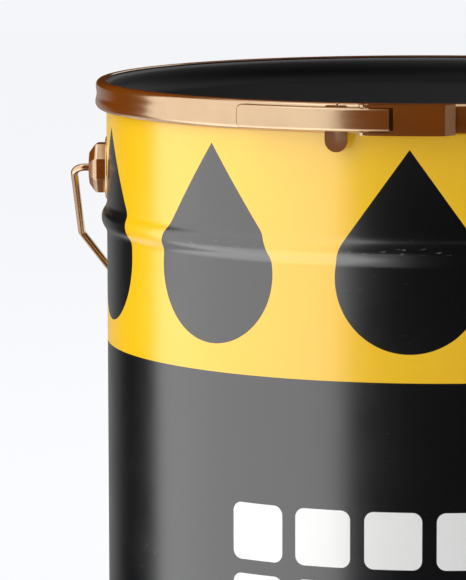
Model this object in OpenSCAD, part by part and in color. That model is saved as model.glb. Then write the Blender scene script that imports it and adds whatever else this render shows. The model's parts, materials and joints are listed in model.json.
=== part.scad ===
// Steel paint pail with a recessed lid, a lever-closed lock ring and a wire bail.
// The origin is on the axis of the pail, on the surface it stands on. +Z is up.
// The closing lever is at the front (-Y); the ears of the bail are at -X and +X.

/* [Body] */
// Outer diameter of the straight body
body_d = 286; // [280:1:300]
// Height from the floor to the top of the lock ring
height = 350; // [330:5:380]
// Thickness of the body and bottom sheet
sheet = 0.5; // [0.4:0.05:0.6]
// How far the swaged bead stands out of the body
bead_out = 2.4; // [1.5:0.1:3]
// Height of the swaged bead
bead_h = 15; // [13:0.5:18]
// Depth of the bead's middle below the top of the ring
bead_drop = 60.5; // [58:0.5:70]
// How far the bottom panel is raised above the floor
panel_rise = 6; // [4.5:0.5:8]

/* [Lid] */
// Depth of the lid's panel below the top of the ring
lid_recess = 11.5; // [10.5:0.5:16]
// Thickness of the lid sheet
lid_sheet = 0.4; // [0.3:0.05:0.45]
// Radius between the lid's upright wall and its panel
lid_blend = 7; // [4:0.5:8]

/* [Lock ring] */
// Height of the ring's channel section
ring_h = 12.5; // [12.5:0.5:14]
// Thickness of the ring's sheet
ring_t = 0.8; // [0.6:0.05:0.8]
// Width of the split between the ring's ends
ring_split = 0.6; // [0.5:0.1:2]

/* [Closure] */
// Direction of the split, measured from the front, towards +X
split_at = -15.05; // [-16:0.05:-14]
// Direction of the lever's hinge pin
hinge_at = -7; // [-7.4:0.1:-6.8]
// Direction of the hook pin
hook_at = -10.1; // [-10.5:0.1:-10]
// Direction of the lever's free end
lever_tip_at = -31.5; // [-36:0.5:-28]
// Height of the lever
lever_h = 9.9; // [9.5:0.1:10.2]
// How far the lever stands out of the body
lever_out = 10.8; // [10.7:0.1:11]
// Radius of the two pins
pin_r = 1; // [0.8:0.1:1]
// Width of the strap and of its tongue
strap_w = 9.5; // [8:0.5:10]
// How far the tongue hangs below the ring
tongue_drop = 7.5; // [5:0.5:12]

/* [Bail] */
// Radius of the bail wire
wire_r = 1.6; // [1.4:0.1:2]
// Depth of the ears' axis below the top of the ring
ear_drop = 40; // [36:0.5:42]
// Distance from the ears' axis to the middle of the hand grip
bail_reach = 200; // [190:1:210]
// Distance of the bail's arms from the pail's middle plane
arm_x = 158.2; // [157:0.1:160]
// Distance from the ears' axis to the knees of the bail
knee_at = 52; // [45:1:60]
// Angle of the bail's slanted legs to its arms
slant = 20; // [16:1:24]
// Radius of the grip
grip_r = 10; // [9:0.5:11]
// Length of the grip
grip_len = 112; // [100:1:120]
// Diameter of the ear's base plate
ear_plate_d = 27.8; // [26:0.2:29]
// Diameter across the corners of the ear's octagonal boss
ear_boss_d = 23.4; // [22:0.2:24]

/* [Hidden] */

$fn = 96;
gap = 0.3;
fit = 0.05;
over = 1;
arc_steps = 8;

body_r = body_d / 2;
inner_r = body_r - sheet;
copper = "peru";
black = "#1c1c1c";

// Rim of the can: an open curl of the body sheet
curl_out = 2.4;
curl_r = body_r + curl_out;
crown_r = (curl_r - inner_r) / 2;
crown_x = inner_r + crown_r;
curl_foot_r = 1.15;
curl_lift = 0.4;

// Lock ring section
ring_mid = height - ring_h / 2;
ring_top_r = 2.3;
ring_foot_r = 2.7;
ring_top_out = body_r + 4.6;
ring_foot_out = body_r + 4.9;
ring_waist = 0.45;
lip_w = 1.4;
lip_round = 0.3;
ring_out = ring_foot_out;
top_arc_x = ring_top_out - ring_top_r;
top_arc_z = height - ring_top_r;
foot_arc_x = ring_foot_out - ring_foot_r;
foot_arc_z = height - ring_h + ring_foot_r;

// Lid, gasket and curl heights follow down from the ring
lid_top = height - ring_t - gap;
lid_fold_r = 1.5;
gasket_t = 1.2;
curl_top = lid_top - lid_sheet - gasket_t - gap;
crown_z = curl_top - crown_r;
curl_foot_z = foot_arc_z - ring_foot_r + ring_t + gap + curl_foot_r + curl_lift;
skirt_r = curl_r + gap + lid_sheet;
skirt_foot = height - 7;
lid_wall_r = inner_r - gap - 2 * fit - lid_sheet;
panel_top = height - lid_recess;

// Bottom seam
seam_out = 2.3;
seam_h = 5;
seam_corner = 1;
seam_lip = 0.4;

// Closure stations and radii
pin_at_r = body_r + 8.3;
lever_t = 0.8;
lever_r = body_r + lever_out;
lever_inner = ring_out + 1.2;
lever_start = hinge_at + 0.65;
tip_wall = 0.35;
bracket_t = 1.1;
bracket_half = ring_h / 2;
bracket_start = hinge_at + 1.28;
bracket_end = 1.9;
ramp_end = 3.8;
hook_nose_r = (lever_r - ring_out) / 2;
hook_nose_at = (lever_r + ring_out) / 2;
ramp_foot = 0.8;
ramp_bite = 0.3;
slot_turn = 60;
strap_t = 0.9;
strap_drop = 0.8;
strap_r = ring_out + strap_t;
eye_r = 1.4;
eye_half = lever_h / 2 - lever_t - gap;

// Ears and bail
ear_z = height - ear_drop;
plate_t = 0.8;
boss_wall = 0.9;
boss_root = 4;
boss_step = body_r + 5.1;
boss_face = body_r + 8;
face_d = 14.6;
bend_r = 5;
knee_r = 8;
corner_r = 45;
bend_entry = 0.2;
run_slim = 0.02;
wire_head_r = 3;
wire_head_h = 1.2;
wire_head_x = boss_face - 3.2;
hang = asin((body_r + grip_r + 0.5) / bail_reach);

// Turns its children so that their +X points towards a direction seen from above, 0 being the front.
module facing(direction) {
    rotate([0, 0, direction - 90])
        children();
}

// Points of an arc about [x, z] from angle a to angle b.
function arc(x, z, r, a, b, steps = arc_steps) =
    [for (i = [0:steps]) let (t = a + (b - a) * i / steps) [x + r * cos(t), z + r * sin(t)]];

// A ring with an upright round bore and a rectangular section.
module hoop(r_in, r_out, z0, z1) {
    translate([0, 0, z0])
        difference() {
            cylinder(r = r_out, h = z1 - z0);
            translate([0, 0, -over])
                cylinder(r = r_in, h = z1 - z0 + 2 * over);
        }
}

// ---- Can body ----

// Radius of a wall that is r away from the bead, at height z: two equal arcs make each flank.
bead_z = height - bead_drop;
bead_arc = (pow(bead_h / 4, 2) + pow(bead_out / 2, 2)) / bead_out;
bead_turn = asin(bead_h / 4 / bead_arc);
function bead_wall(r) = concat(
    arc(r + bead_arc, bead_z - bead_h / 2, bead_arc, 180, 180 - bead_turn, 4),
    arc(r + bead_out - bead_arc, bead_z, bead_arc, -bead_turn, bead_turn, 8),
    arc(r + bead_arc, bead_z + bead_h / 2, bead_arc, 180 + bead_turn, 180, 4));
function reversed(list) = [for (i = [len(list) - 1:-1:0]) list[i]];

// The upright wall with its bead, the crown of the curl, its outer side and its foot, in one path.
module can_section() {
    foot = seam_corner + sheet + seam_lip;
    foot_x = curl_r - curl_foot_r;
    polygon(concat(
        [[body_r, foot]],
        bead_wall(body_r),
        arc(crown_x, crown_z, crown_r - sheet, 180, 0),
        arc(foot_x, curl_foot_z, curl_foot_r - sheet, 0, -170),
        reversed(arc(foot_x, curl_foot_z, curl_foot_r, 0, -170)),
        reversed(arc(crown_x, crown_z, crown_r, 180, 0)),
        reversed(bead_wall(inner_r)),
        [[inner_r, foot]]));
}

module can_shell() {
    color("gold")
        rotate_extrude()
            can_section();
}

// The end panel: a channel that hooks round the body's lower edge, and a raised flat panel.
module bottom_section() {
    out = body_r + seam_out;
    in = inner_r - fit;
    polygon(concat(
        arc(out - seam_corner, seam_corner, seam_corner, 0, -90, 4),
        arc(in - sheet + seam_corner, seam_corner, seam_corner, -90, -180, 4),
        [[in - sheet, panel_rise - sheet], [0, panel_rise - sheet], [0, panel_rise],
         [in, panel_rise], [in, seam_corner + sheet], [out - sheet, seam_corner + sheet],
         [out - sheet, seam_h - sheet], [body_r + gap, seam_h - sheet],
         [body_r + gap, seam_h], [out, seam_h - seam_lip]]));
}

module can_bottom() {
    color("#202020")
        rotate_extrude()
            bottom_section();
}

// Sealing compound that fills the space between the body and the folded bottom edge.
module bottom_seal() {
    color("dimgray")
        hoop(body_r, body_r + seam_out - sheet, seam_corner + sheet, seam_h - sheet);
}

// ---- Ears ----

module ear_plate(side) {
    color(copper)
        intersection() {
            hoop(body_r, body_r + plate_t, ear_z - ear_plate_d, ear_z + ear_plate_d);
            translate([side * body_r / 2, 0, ear_z])
                rotate([0, side * 90, 0])
                    cylinder(d = ear_plate_d, h = body_r);
        }
}

// Octagonal boss with a chamfered nose, along +Z from 0, made of four crossed prisms.
module octagon_nose(across, face, z_step, z_face) {
    flat = across / 2 * cos(22.5);
    nose = face / 2 * cos(22.5);
    intersection_for(k = [0:3])
        rotate([90, 0, 45 * k])
            translate([0, 0, -across])
                linear_extrude(2 * across)
                    polygon([[-flat, 0], [flat, 0], [flat, z_step], [nose, z_face],
                             [-nose, z_face], [-flat, z_step]]);
}

module ear_boss(side) {
    base = body_r - boss_root;
    color(copper)
        difference() {
            translate([side * base, 0, ear_z])
                rotate([0, side * 90, 0])
                    difference() {
                        octagon_nose(ear_boss_d, face_d, boss_step - base, boss_face - base);
                        octagon_nose(ear_boss_d - 2 * boss_wall, face_d - boss_wall,
                                     boss_step - base - gap, boss_face - base - boss_wall);
                        cylinder(r = wire_r + fit, h = boss_face);
                    }
            translate([0, 0, ear_z - ear_plate_d])
                cylinder(r = body_r + plate_t, h = 2 * ear_plate_d);
        }
}

// ---- Bail ----

// The bail is drawn hanging straight down in the XZ plane and then swung back against the pail.
knee_in = knee_r * tan(slant / 2);
corner_turn = 90 - slant;
corner_in = corner_r * tan(corner_turn / 2);
corner_x = arm_x - (bail_reach - knee_at) * tan(slant);
leg_len = (bail_reach - knee_at) / cos(slant);

// A quarter or lesser bend in the XZ plane: its centre, its middle radius, and where it starts.
module wire_bend(x, z, r, from, turn) {
    translate([x, 0, z])
        rotate([90, 0, 0])
            rotate([0, 0, from])
                rotate_extrude(angle = turn)
                    translate([r, 0])
                        circle(r = wire_r, $fn = 32);
}

// A straight stretch of wire along +Z. It is a hair thinner than the bends, which it enters
// a little way at both ends, so that the two join cleanly.
module wire_run(from, to) {
    translate([0, 0, from - bend_entry])
        cylinder(r = wire_r - run_slim, h = to - from + 2 * bend_entry);
}

module half_bail() {
    // head inside the boss, and the pin through its bore
    translate([wire_head_x, 0, 0])
        rotate([0, 90, 0])
            cylinder(r = wire_head_r, h = wire_head_h);
    rotate([0, 90, 0])
        wire_run(wire_head_x + wire_head_h - bend_entry, arm_x - bend_r);
    wire_bend(arm_x - bend_r, -bend_r, bend_r, 0, 90);
    translate([arm_x, 0, 0])
        wire_run(-knee_at + knee_in, -bend_r);
    wire_bend(arm_x - knee_r, -knee_at + knee_in, knee_r, -slant, slant);
    // slanted leg
    translate([arm_x, 0, -knee_at])
        rotate([0, slant, 0])
            wire_run(corner_in - leg_len, -knee_in);
    wire_bend(corner_x - corner_in, -bail_reach + corner_r, corner_r, -90, corner_turn);
}

module hanging() {
    translate([0, 0, ear_z])
        rotate([hang, 0, 0])
            children();
}

module bail_wire() {
    color(copper)
        hanging() {
            half_bail();
            mirror([1, 0, 0])
                half_bail();
            translate([0, 0, -bail_reach])
                rotate([0, 90, 0])
                    wire_run(corner_in - corner_x, corner_x - corner_in);
        }
}

// Moulded grip, turning freely on the wire, with a flange at each end and five finger waves.
module grip_section() {
    half = grip_len / 2;
    bore = wire_r + fit + 0.03;
    flange = 3;
    edge = 1;
    wave = 0.8;
    waves = 5;
    steps = 40;
    polygon(concat(
        [[bore, -half], [grip_r - edge, -half], [grip_r, -half + edge], [grip_r, -half + flange]],
        [for (i = [0:steps]) let (t = -1 + 2 * i / steps)
            [grip_r - 2 * wave + wave * cos(180 * waves * (t + 1)), t * (half - flange - 2)]],
        [[grip_r, half - flange], [grip_r, half - edge], [grip_r - edge, half], [bore, half]]));
}

module bail_grip() {
    color(black)
        hanging()
            translate([0, 0, -bail_reach])
                rotate([0, 90, 0])
                    rotate_extrude()
                        grip_section();
}

// ---- Lid ----

module lid_section() {
    fold_in = lid_fold_r - lid_sheet;
    polygon(concat(
        [[0, panel_top - lid_sheet], [lid_wall_r - lid_blend, panel_top - lid_sheet]],
        arc(lid_wall_r - lid_blend, panel_top + lid_blend, lid_blend + lid_sheet, -90, 0),
        arc(lid_wall_r + lid_fold_r, lid_top - lid_fold_r, fold_in, 180, 90, 5),
        arc(skirt_r - lid_fold_r, lid_top - lid_fold_r, fold_in, 90, 0, 5),
        [[skirt_r - lid_sheet, skirt_foot], [skirt_r, skirt_foot]],
        arc(skirt_r - lid_fold_r, lid_top - lid_fold_r, lid_fold_r, 0, 90, 5),
        arc(lid_wall_r + lid_fold_r, lid_top - lid_fold_r, lid_fold_r, 90, 180, 5),
        arc(lid_wall_r - lid_blend, panel_top + lid_blend, lid_blend, 0, -90),
        [[0, panel_top]]));
}

module lid_panel() {
    color(black)
        rotate_extrude()
            lid_section();
}

module lid_gasket() {
    color("dimgray")
        hoop(lid_wall_r + lid_fold_r, skirt_r - lid_fold_r,
             lid_top - lid_sheet - gasket_t, lid_top - lid_sheet);
}

// ---- Lock ring ----

// Outline of the ring's channel: flat lip, crown, two lobes with a shallow waist, and foot.
function ring_skin(inset) = concat(
    [[top_arc_x - lip_w, height - lip_round - (inset - 2 * lip_round) * inset / ring_t],
     [top_arc_x - lip_w + lip_round, height - inset]],
    arc(top_arc_x, top_arc_z, ring_top_r - inset, 90, 0),
    [for (i = [1:7]) let (u = i / 8)
        [ring_top_out + (ring_foot_out - ring_top_out) * u
             - ring_waist * pow(sin(180 * u), 2) - inset,
         top_arc_z + (foot_arc_z - top_arc_z) * u]],
    arc(foot_arc_x, foot_arc_z, ring_foot_r - inset, 0, -120));

module lock_ring() {
    half_split = ring_split / 2 / body_r * 180 / PI;
    color(copper)
        facing(split_at + half_split)
            rotate_extrude(angle = 360 - 2 * half_split)
                polygon(concat(ring_skin(0), reversed(ring_skin(ring_t))));
}

// ---- Closure ----

// A stretch of a hoop between two directions.
module band(r_in, r_out, z0, z1, from, to) {
    facing(from)
        rotate_extrude(angle = to - from)
            translate([r_in, z0])
                square([r_out - r_in, z1 - z0]);
}

// An upright cylinder at a direction and radius, centred on the ring's mid height.
module post(direction, at_r, r, half) {
    facing(direction)
        translate([at_r, 0, ring_mid - half])
            cylinder(r = r, h = 2 * half, $fn = 48);
}

// Fork on the ring's right end. Its two flanges reach left over the lever, and their noses
// hold the hook pin in slots that open outwards along the pin's path about the hinge.
module hook_bracket() {
    web_in = lever_r - bracket_t;
    color(copper)
        difference() {
            union() {
                for (side = [-1, 1]) {
                    z = side > 0 ? ring_mid + bracket_half - bracket_t : ring_mid - bracket_half;
                    band(ring_out, lever_r, z, z + bracket_t, hook_at, bracket_end);
                    facing(hook_at)
                        translate([hook_nose_at, 0, z])
                            cylinder(r = hook_nose_r, h = bracket_t);
                }
                band(web_in, lever_r, ring_mid - bracket_half, ring_mid + bracket_half,
                     bracket_start, bracket_end);
                hook_ramp();
            }
            hook_slot();
        }
}

// Where the fork's web runs down on to the ring, it is a wedge that bites into the web's end.
module hook_ramp() {
    low = ring_out + 2 * fit;
    high = lever_r - fit;
    translate([0, 0, ring_mid - bracket_half])
        linear_extrude(2 * bracket_half)
            polygon([for (p = [[low, bracket_end - ramp_bite], [high, bracket_end - ramp_bite],
                               [high, bracket_end + fit], [ring_out + ramp_foot, ramp_end],
                               [low, ramp_end]])
                     [p[0] * sin(p[1]), -p[0] * cos(p[1])]]);
}

module hook_slot() {
    reach = pin_at_r * 2 * sin((hinge_at - hook_at) / 2);
    wide = pin_r + fit;
    translate([0, 0, ring_mid - ring_h]) {
        facing(hook_at)
            translate([pin_at_r, 0, 0])
                cylinder(r = wide, h = 2 * ring_h, $fn = 48);
        facing(hinge_at)
            translate([pin_at_r, 0, 0])
                rotate([0, 0, -90 - (hinge_at - hook_at) / 2])
                    rotate_extrude(angle = slot_turn)
                        translate([reach - wide, 0])
                            square([2 * wide, 2 * ring_h]);
    }
}

// Saddle and tongue over the ring's split, fixed to its left end, with an arm and an eye
// that carry the lever's hinge pin.
module anchor_strap() {
    half_w = strap_w / 2 / body_r * 180 / PI;
    foot = height - ring_h - tongue_drop;
    color(copper)
        difference() {
            union() {
                band(ring_out, strap_r, foot + strap_w / 2, height - strap_drop,
                     split_at - half_w, split_at + half_w);
                // round end of the tongue
                intersection() {
                    band(ring_out, strap_r, foot, foot + strap_w,
                         split_at - half_w, split_at + half_w);
                    facing(split_at)
                        translate([0, 0, foot + strap_w / 2])
                            rotate([0, 90, 0])
                                cylinder(d = strap_w, h = 2 * body_r);
                }
                band(ring_out, strap_r, ring_mid - eye_half, ring_mid + eye_half,
                     split_at, hinge_at);
                post(hinge_at, pin_at_r, eye_r, eye_half);
                // neck between the arm and the rolled eye
                facing(hinge_at)
                    translate([ring_out, -eye_r, ring_mid - eye_half])
                        cube([pin_at_r - ring_out, eye_r, 2 * eye_half]);
            }
            post(hinge_at, pin_at_r, pin_r, eye_half + over);
        }
}

module hinge_pin() {
    color(copper)
        post(hinge_at, pin_at_r, pin_r, lever_h / 2 + 0.1);
}

module hook_pin() {
    color(copper)
        post(hook_at, pin_at_r, pin_r, bracket_half + 0.3);
}

// Pressed channel, open towards the pail, following the ring from the hinge to the free end.
module lever() {
    half = lever_h / 2;
    tip_corner = 2.5;
    color(copper)
        difference() {
            band(lever_inner, lever_r, ring_mid - half, ring_mid + half, lever_tip_at, lever_start);
            band(lever_inner - over, lever_r - lever_t, ring_mid - half + lever_t,
                 ring_mid + half - lever_t, lever_tip_at + tip_wall, lever_start + over);
            post(hinge_at, pin_at_r, pin_r + fit, half + over);
            post(hook_at, pin_at_r, pin_r, half + over);
            // rounded corners of the free end
            facing(lever_tip_at)
                for (side = [-1, 1])
                    translate([lever_r - 10, 0, ring_mid + side * half])
                        tip_cutter(side, tip_corner);
        }
}

// What lies outside a rounded corner of radius r, cut right through along X. The round is a
// hair larger than the corner, so that it crosses both edges and touches neither.
module tip_cutter(side, r) {
    difference() {
        translate([0, -1, side > 0 ? -r : -1])
            cube([20, r + 1, r + 1]);
        translate([-1, r, -side * r])
            rotate([0, 90, 0])
                cylinder(r = r + 0.03, h = 22, $fn = 48);
    }
}

can_shell();
can_bottom();
bottom_seal();
ear_plate(-1);  // ear_plate_left
ear_plate(1);  // ear_plate_right
ear_boss(-1);  // ear_boss_left
ear_boss(1);  // ear_boss_right
bail_wire();
bail_grip();
lid_panel();
lid_gasket();
lock_ring();
hook_bracket();
anchor_strap();
hinge_pin();
hook_pin();
lever();
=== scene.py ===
import json
import math

import bmesh
import bpy
from mathutils import Matrix, Vector

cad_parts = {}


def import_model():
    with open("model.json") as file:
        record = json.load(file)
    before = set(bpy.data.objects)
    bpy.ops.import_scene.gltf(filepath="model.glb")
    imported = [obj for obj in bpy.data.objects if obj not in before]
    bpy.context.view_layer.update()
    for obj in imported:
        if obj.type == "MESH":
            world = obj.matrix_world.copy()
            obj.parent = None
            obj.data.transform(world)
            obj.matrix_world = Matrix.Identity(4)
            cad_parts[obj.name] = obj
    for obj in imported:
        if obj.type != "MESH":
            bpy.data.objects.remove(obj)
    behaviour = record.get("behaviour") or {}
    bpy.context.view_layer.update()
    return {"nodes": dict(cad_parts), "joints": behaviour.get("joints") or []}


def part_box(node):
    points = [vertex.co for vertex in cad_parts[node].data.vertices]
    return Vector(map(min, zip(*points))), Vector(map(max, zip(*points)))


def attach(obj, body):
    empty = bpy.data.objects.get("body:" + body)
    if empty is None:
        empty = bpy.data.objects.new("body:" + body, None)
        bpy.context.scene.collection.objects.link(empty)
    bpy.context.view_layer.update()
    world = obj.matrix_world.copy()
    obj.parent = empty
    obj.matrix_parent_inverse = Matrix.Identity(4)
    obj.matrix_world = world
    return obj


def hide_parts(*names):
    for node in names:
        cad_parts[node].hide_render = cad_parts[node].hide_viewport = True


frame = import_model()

# A steel paint pail with a lever-closed lock ring and a wire bail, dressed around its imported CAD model.
# Lengths below are in millimetres unless a comment says otherwise, and become metres in the mesh helpers.
# Directions are degrees from the front (-Y), positive towards +X, as in the CAD source.

MM = 0.001
JOINTS = {j["name"]: j for j in frame["joints"]}


def box_mm(node):
    """A CAD node's lowest and highest corner in millimetres."""
    low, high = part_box(node)
    return low / MM, high / MM


# ---- Places and sizes, worked out from the frame ----

SHEET = 0.5
CURL_OUT = 2.4
HEIGHT = box_mm("lock_ring")[1].z
RING_FOOT_Z = box_mm("lock_ring")[0].z
BODY_R = box_mm("can_shell")[1].x - CURL_OUT
INNER_R = BODY_R - SHEET
CURL_R = BODY_R + CURL_OUT
CURL_TOP = box_mm("can_shell")[1].z
LID_TOP = box_mm("lid_panel")[1].z
LID_SKIRT_R = box_mm("lid_panel")[1].x
SEAM_R = box_mm("can_bottom")[1].x
BEAD_Z, BEAD_OUT, BEAD_H = HEIGHT - 60.5, 2.4, 15.0
LABEL_EDGE_Z = HEIGHT - 114.8

RING_T = 0.8
RING_H = HEIGHT - RING_FOOT_Z
RING_MID = HEIGHT - RING_H / 2
RING_OUT = box_mm("lock_ring")[1].y
SPLIT_AT, SPLIT_W = -15.05, 0.6

HINGE = Vector(JOINTS["lever_swing"]["pos_m"]) / MM
HINGE_AT = math.degrees(math.atan2(HINGE.x, -HINGE.y))
PIN_AT_R = math.hypot(HINGE.x, HINGE.y)
PIN_R = 1.0
HOOK_AT = -10.1
LEVER_R = BODY_R + 10.8
LEVER_IN = RING_OUT + 1.2
LEVER_H = 9.9
LEVER_T = 0.8
LEVER_TIP, LEVER_END = -31.5, HINGE_AT + 0.65
FORK_T = 1.1
FORK_START, FORK_END, RAMP_END = HINGE_AT + 1.28, 1.9, 3.8
STRAP_T, STRAP_W, TONGUE, STRAP_TURN = 0.75, 9.5, 7.5, 4.0

EAR_Z = JOINTS["bail_swing"]["pos_m"][2] / MM
GRIP_AXIS = Vector(JOINTS["grip_spin"]["pos_m"]) / MM
BAIL_REACH = math.hypot(GRIP_AXIS.y, EAR_Z - GRIP_AXIS.z)
HANG = math.atan2(GRIP_AXIS.y, EAR_Z - GRIP_AXIS.z)
WIRE_R = 1.6
ARM_X = box_mm("bail_wire")[1].x - WIRE_R
KNEE_AT, SLANT = 52.0, math.radians(20)
GRIP_R, GRIP_HALF = 10.0, box_mm("bail_grip")[1].x


# ---- Mesh helpers ----

def on_hoop(radius, direction, z):
    """The point at that radius and direction from the front, in millimetres."""
    a = math.radians(direction)
    return Vector((radius * math.sin(a), -radius * math.cos(a), z))


def arc(x, z, r, start, end, steps=10):
    """Points on a circle from one angle to another, in degrees."""
    turns = [math.radians(start + (end - start) * i / steps) for i in range(steps + 1)]
    return [(x + r * math.cos(t), z + r * math.sin(t)) for t in turns]


def make(name, verts, faces, material, body, node=None, slot=None, sharp=32):
    """A finished piece from points in millimetres: it rides on a body and may replace a CAD node."""
    mesh = bpy.data.meshes.new(name)
    mesh.from_pydata([Vector(v) * MM for v in verts], [], faces)
    tidy = bmesh.new()
    tidy.from_mesh(mesh)
    bmesh.ops.remove_doubles(tidy, verts=tidy.verts, dist=1e-7)
    bmesh.ops.recalc_face_normals(tidy, faces=tidy.faces)
    tidy.to_mesh(mesh)
    tidy.free()
    mesh.shade_smooth()
    mesh.set_sharp_from_angle(angle=math.radians(sharp))
    piece = bpy.data.objects.new(name, mesh)
    bpy.context.scene.collection.objects.link(piece)
    mesh.materials.append(material)
    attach(piece, body)
    if node:
        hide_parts(node)
    return piece


def revolve(outline, segments=288, start=0.0, turn=360.0):
    """Vertices and faces of a closed outline (r, z) turned about the Z axis; a part turn gets end faces."""
    whole = abs(turn - 360) < 1e-6
    stations = segments if whole else segments + 1
    count = len(outline)
    verts = [on_hoop(r, start + turn * i / segments, z) for i in range(stations) for r, z in outline]
    faces = []
    for i in range(segments):
        a, b = i * count, ((i + 1) % stations) * count
        for k in range(count):
            n = (k + 1) % count
            if outline[k][0] > 1e-6 or outline[n][0] > 1e-6:
                faces.append((a + k, b + k, b + n, a + n))
    if not whole:
        faces += [tuple(range(count)), tuple((stations - 1) * count + k for k in range(count))]
    return verts, faces


def loft(sections):
    """Vertices and faces through closed sections of equal length, with end faces."""
    count = len(sections[0])
    verts = [p for s in sections for p in s]
    faces = [tuple(range(count)), tuple((len(sections) - 1) * count + k for k in range(count))]
    for i in range(len(sections) - 1):
        for k in range(count):
            n = (k + 1) % count
            faces.append((i * count + k, (i + 1) * count + k, (i + 1) * count + n, i * count + n))
    return verts, faces


def prism(outline, z0, z1):
    """A flat outline of (x, y) points drawn up from z0 to z1."""
    return loft([[Vector((x, y, z)) for x, y in outline] for z in (z0, z1)])


def soften(piece, width, segments=3, angle=40):
    """A small round along the sharp edges."""
    bevel = piece.modifiers.new("edge_round", "BEVEL")
    bevel.width = width * MM
    bevel.segments = segments
    bevel.limit_method = "ANGLE"
    bevel.angle_limit = math.radians(angle)
    bevel.harden_normals = True
    return piece


def boolean(piece, other, operation):
    """Combines two pieces and removes the second."""
    step = piece.modifiers.new("shape", "BOOLEAN")
    step.operation = operation
    step.solver = "EXACT"
    step.object = other
    graph = bpy.context.evaluated_depsgraph_get()
    mesh = bpy.data.meshes.new_from_object(piece.evaluated_get(graph))
    piece.modifiers.clear()
    piece.data = mesh
    bpy.data.objects.remove(other)
    return piece


def finish_joined(piece, name, node):
    """Name, shading and place in the record of a piece joined from several."""
    piece.name = name
    piece.data.shade_smooth()
    piece.data.set_sharp_from_angle(angle=math.radians(30))
    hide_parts(node)
    return piece


# ---- Node helpers ----

class Nodes:
    """Short names for building a material's node tree."""

    def __init__(self, name):
        self.material = bpy.data.materials.new(name)
        self.material.use_nodes = True
        self.tree = self.material.node_tree
        self.shader = self.tree.nodes["Principled BSDF"]

    def new(self, kind, **settings):
        """A shader node of that kind with its settings."""
        node = self.tree.nodes.new("ShaderNode" + kind)
        for key, value in settings.items():
            setattr(node, key, value)
        return node

    def put(self, value, socket):
        """Links a socket to an input, or sets the input to a plain value."""
        if isinstance(value, bpy.types.NodeSocket):
            self.tree.links.new(value, socket)
        else:
            socket.default_value = value

    def math(self, operation, *values):
        """The result of a Math node on these values."""
        node = self.new("Math", operation=operation)
        for value, socket in zip(values, node.inputs):
            self.put(value, socket)
        return node.outputs[0]

    def point(self):
        """The place in the row frame, as x, y and z in metres."""
        xyz = self.new("SeparateXYZ")
        self.put(self.new("TexCoord").outputs["Object"], xyz.inputs[0])
        return xyz.outputs[0], xyz.outputs[1], xyz.outputs[2]

    def radius(self, x, y):
        """Distance from the pail's axis in metres."""
        return self.math("SQRT", self.math("ADD", self.math("MULTIPLY", x, x), self.math("MULTIPLY", y, y)))

    def join(self, x, y, z):
        """Three values as one vector."""
        node = self.new("CombineXYZ")
        for value, socket in zip((x, y, z), node.inputs):
            self.put(value, socket)
        return node.outputs[0]

    def noise(self, place, scale, detail=3.0, roughness=0.55):
        """A noise value at place."""
        node = self.new("TexNoise")
        self.put(place, node.inputs["Vector"])
        node.inputs["Scale"].default_value = scale
        node.inputs["Detail"].default_value = detail
        node.inputs["Roughness"].default_value = roughness
        return node.outputs[0]

    def between(self, value, low, high, to_low=0.0, to_high=1.0):
        """The value mapped from one range to another and held inside it."""
        node = self.new("MapRange", clamp=True)
        for v, socket in zip((value, low, high, to_low, to_high), node.inputs):
            self.put(v, socket)
        return node.outputs[0]

    def blend(self, factor, first, second):
        """One colour turning into another as factor goes from 0 to 1."""
        node = self.new("Mix", data_type="RGBA")
        self.put(factor, node.inputs[0])
        for value, socket in ((first, node.inputs[6]), (second, node.inputs[7])):
            self.put(value if isinstance(value, bpy.types.NodeSocket) else (*value, 1.0), socket)
        return node.outputs[2]

    def bump(self, height, distance, strength=1.0, onto=None):
        """A normal bent by a height, on top of another normal if one is given."""
        node = self.new("Bump")
        node.inputs["Strength"].default_value = strength
        node.inputs["Distance"].default_value = distance
        self.put(height, node.inputs["Height"])
        if onto is not None:
            self.put(onto, node.inputs["Normal"])
        return node.outputs[0]

    def finish(self, colour, roughness, normal=None, **plain):
        """The finished material; plain names constant inputs of the shader."""
        self.put(colour, self.shader.inputs["Base Color"])
        self.put(roughness, self.shader.inputs["Roughness"])
        if normal is not None:
            self.put(normal, self.shader.inputs["Normal"])
        for key, value in plain.items():
            self.shader.inputs[key.replace("_", " ")].default_value = value
        return self.material


def around(n):
    """Distance round the body's surface from the front, and height, both in metres."""
    x, y, z = n.point()
    turn = n.math("ARCTAN2", x, n.math("MULTIPLY", y, -1.0))
    return n.math("MULTIPLY", turn, BODY_R * MM), z


# ---- Materials ----

YELLOW = (0.91, 0.53, 0.0)
INK = (0.0045, 0.0045, 0.005)
CHIP_WHITE = (0.82, 0.82, 0.80)
BARE_STEEL = (0.42, 0.40, 0.37)
METAL, METAL_SHARE = (0.545, 0.455, 0.295), 0.62
TINT = (0.40, 0.088, 0.0)
TINT_WORN = (0.50, 0.22, 0.06)

DROPS = 10
DROP_AT, DROP_R = -98.5, 31.0
DROP_FOOT_Z, DROP_TOP_Z = HEIGHT - 103, HEIGHT - 19
CHIP, CHIP_GAP, CHIP_TOP_Z = 24.0, 6.0, HEIGHT - 168.5
CHIPS, CHIP_ROWS, CHIP_ROUND = 6, 2, 4.0
BARE_MARGIN, DOT_PITCH, RIPPLE_PITCH = 3.2, 0.9, 1.4


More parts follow.
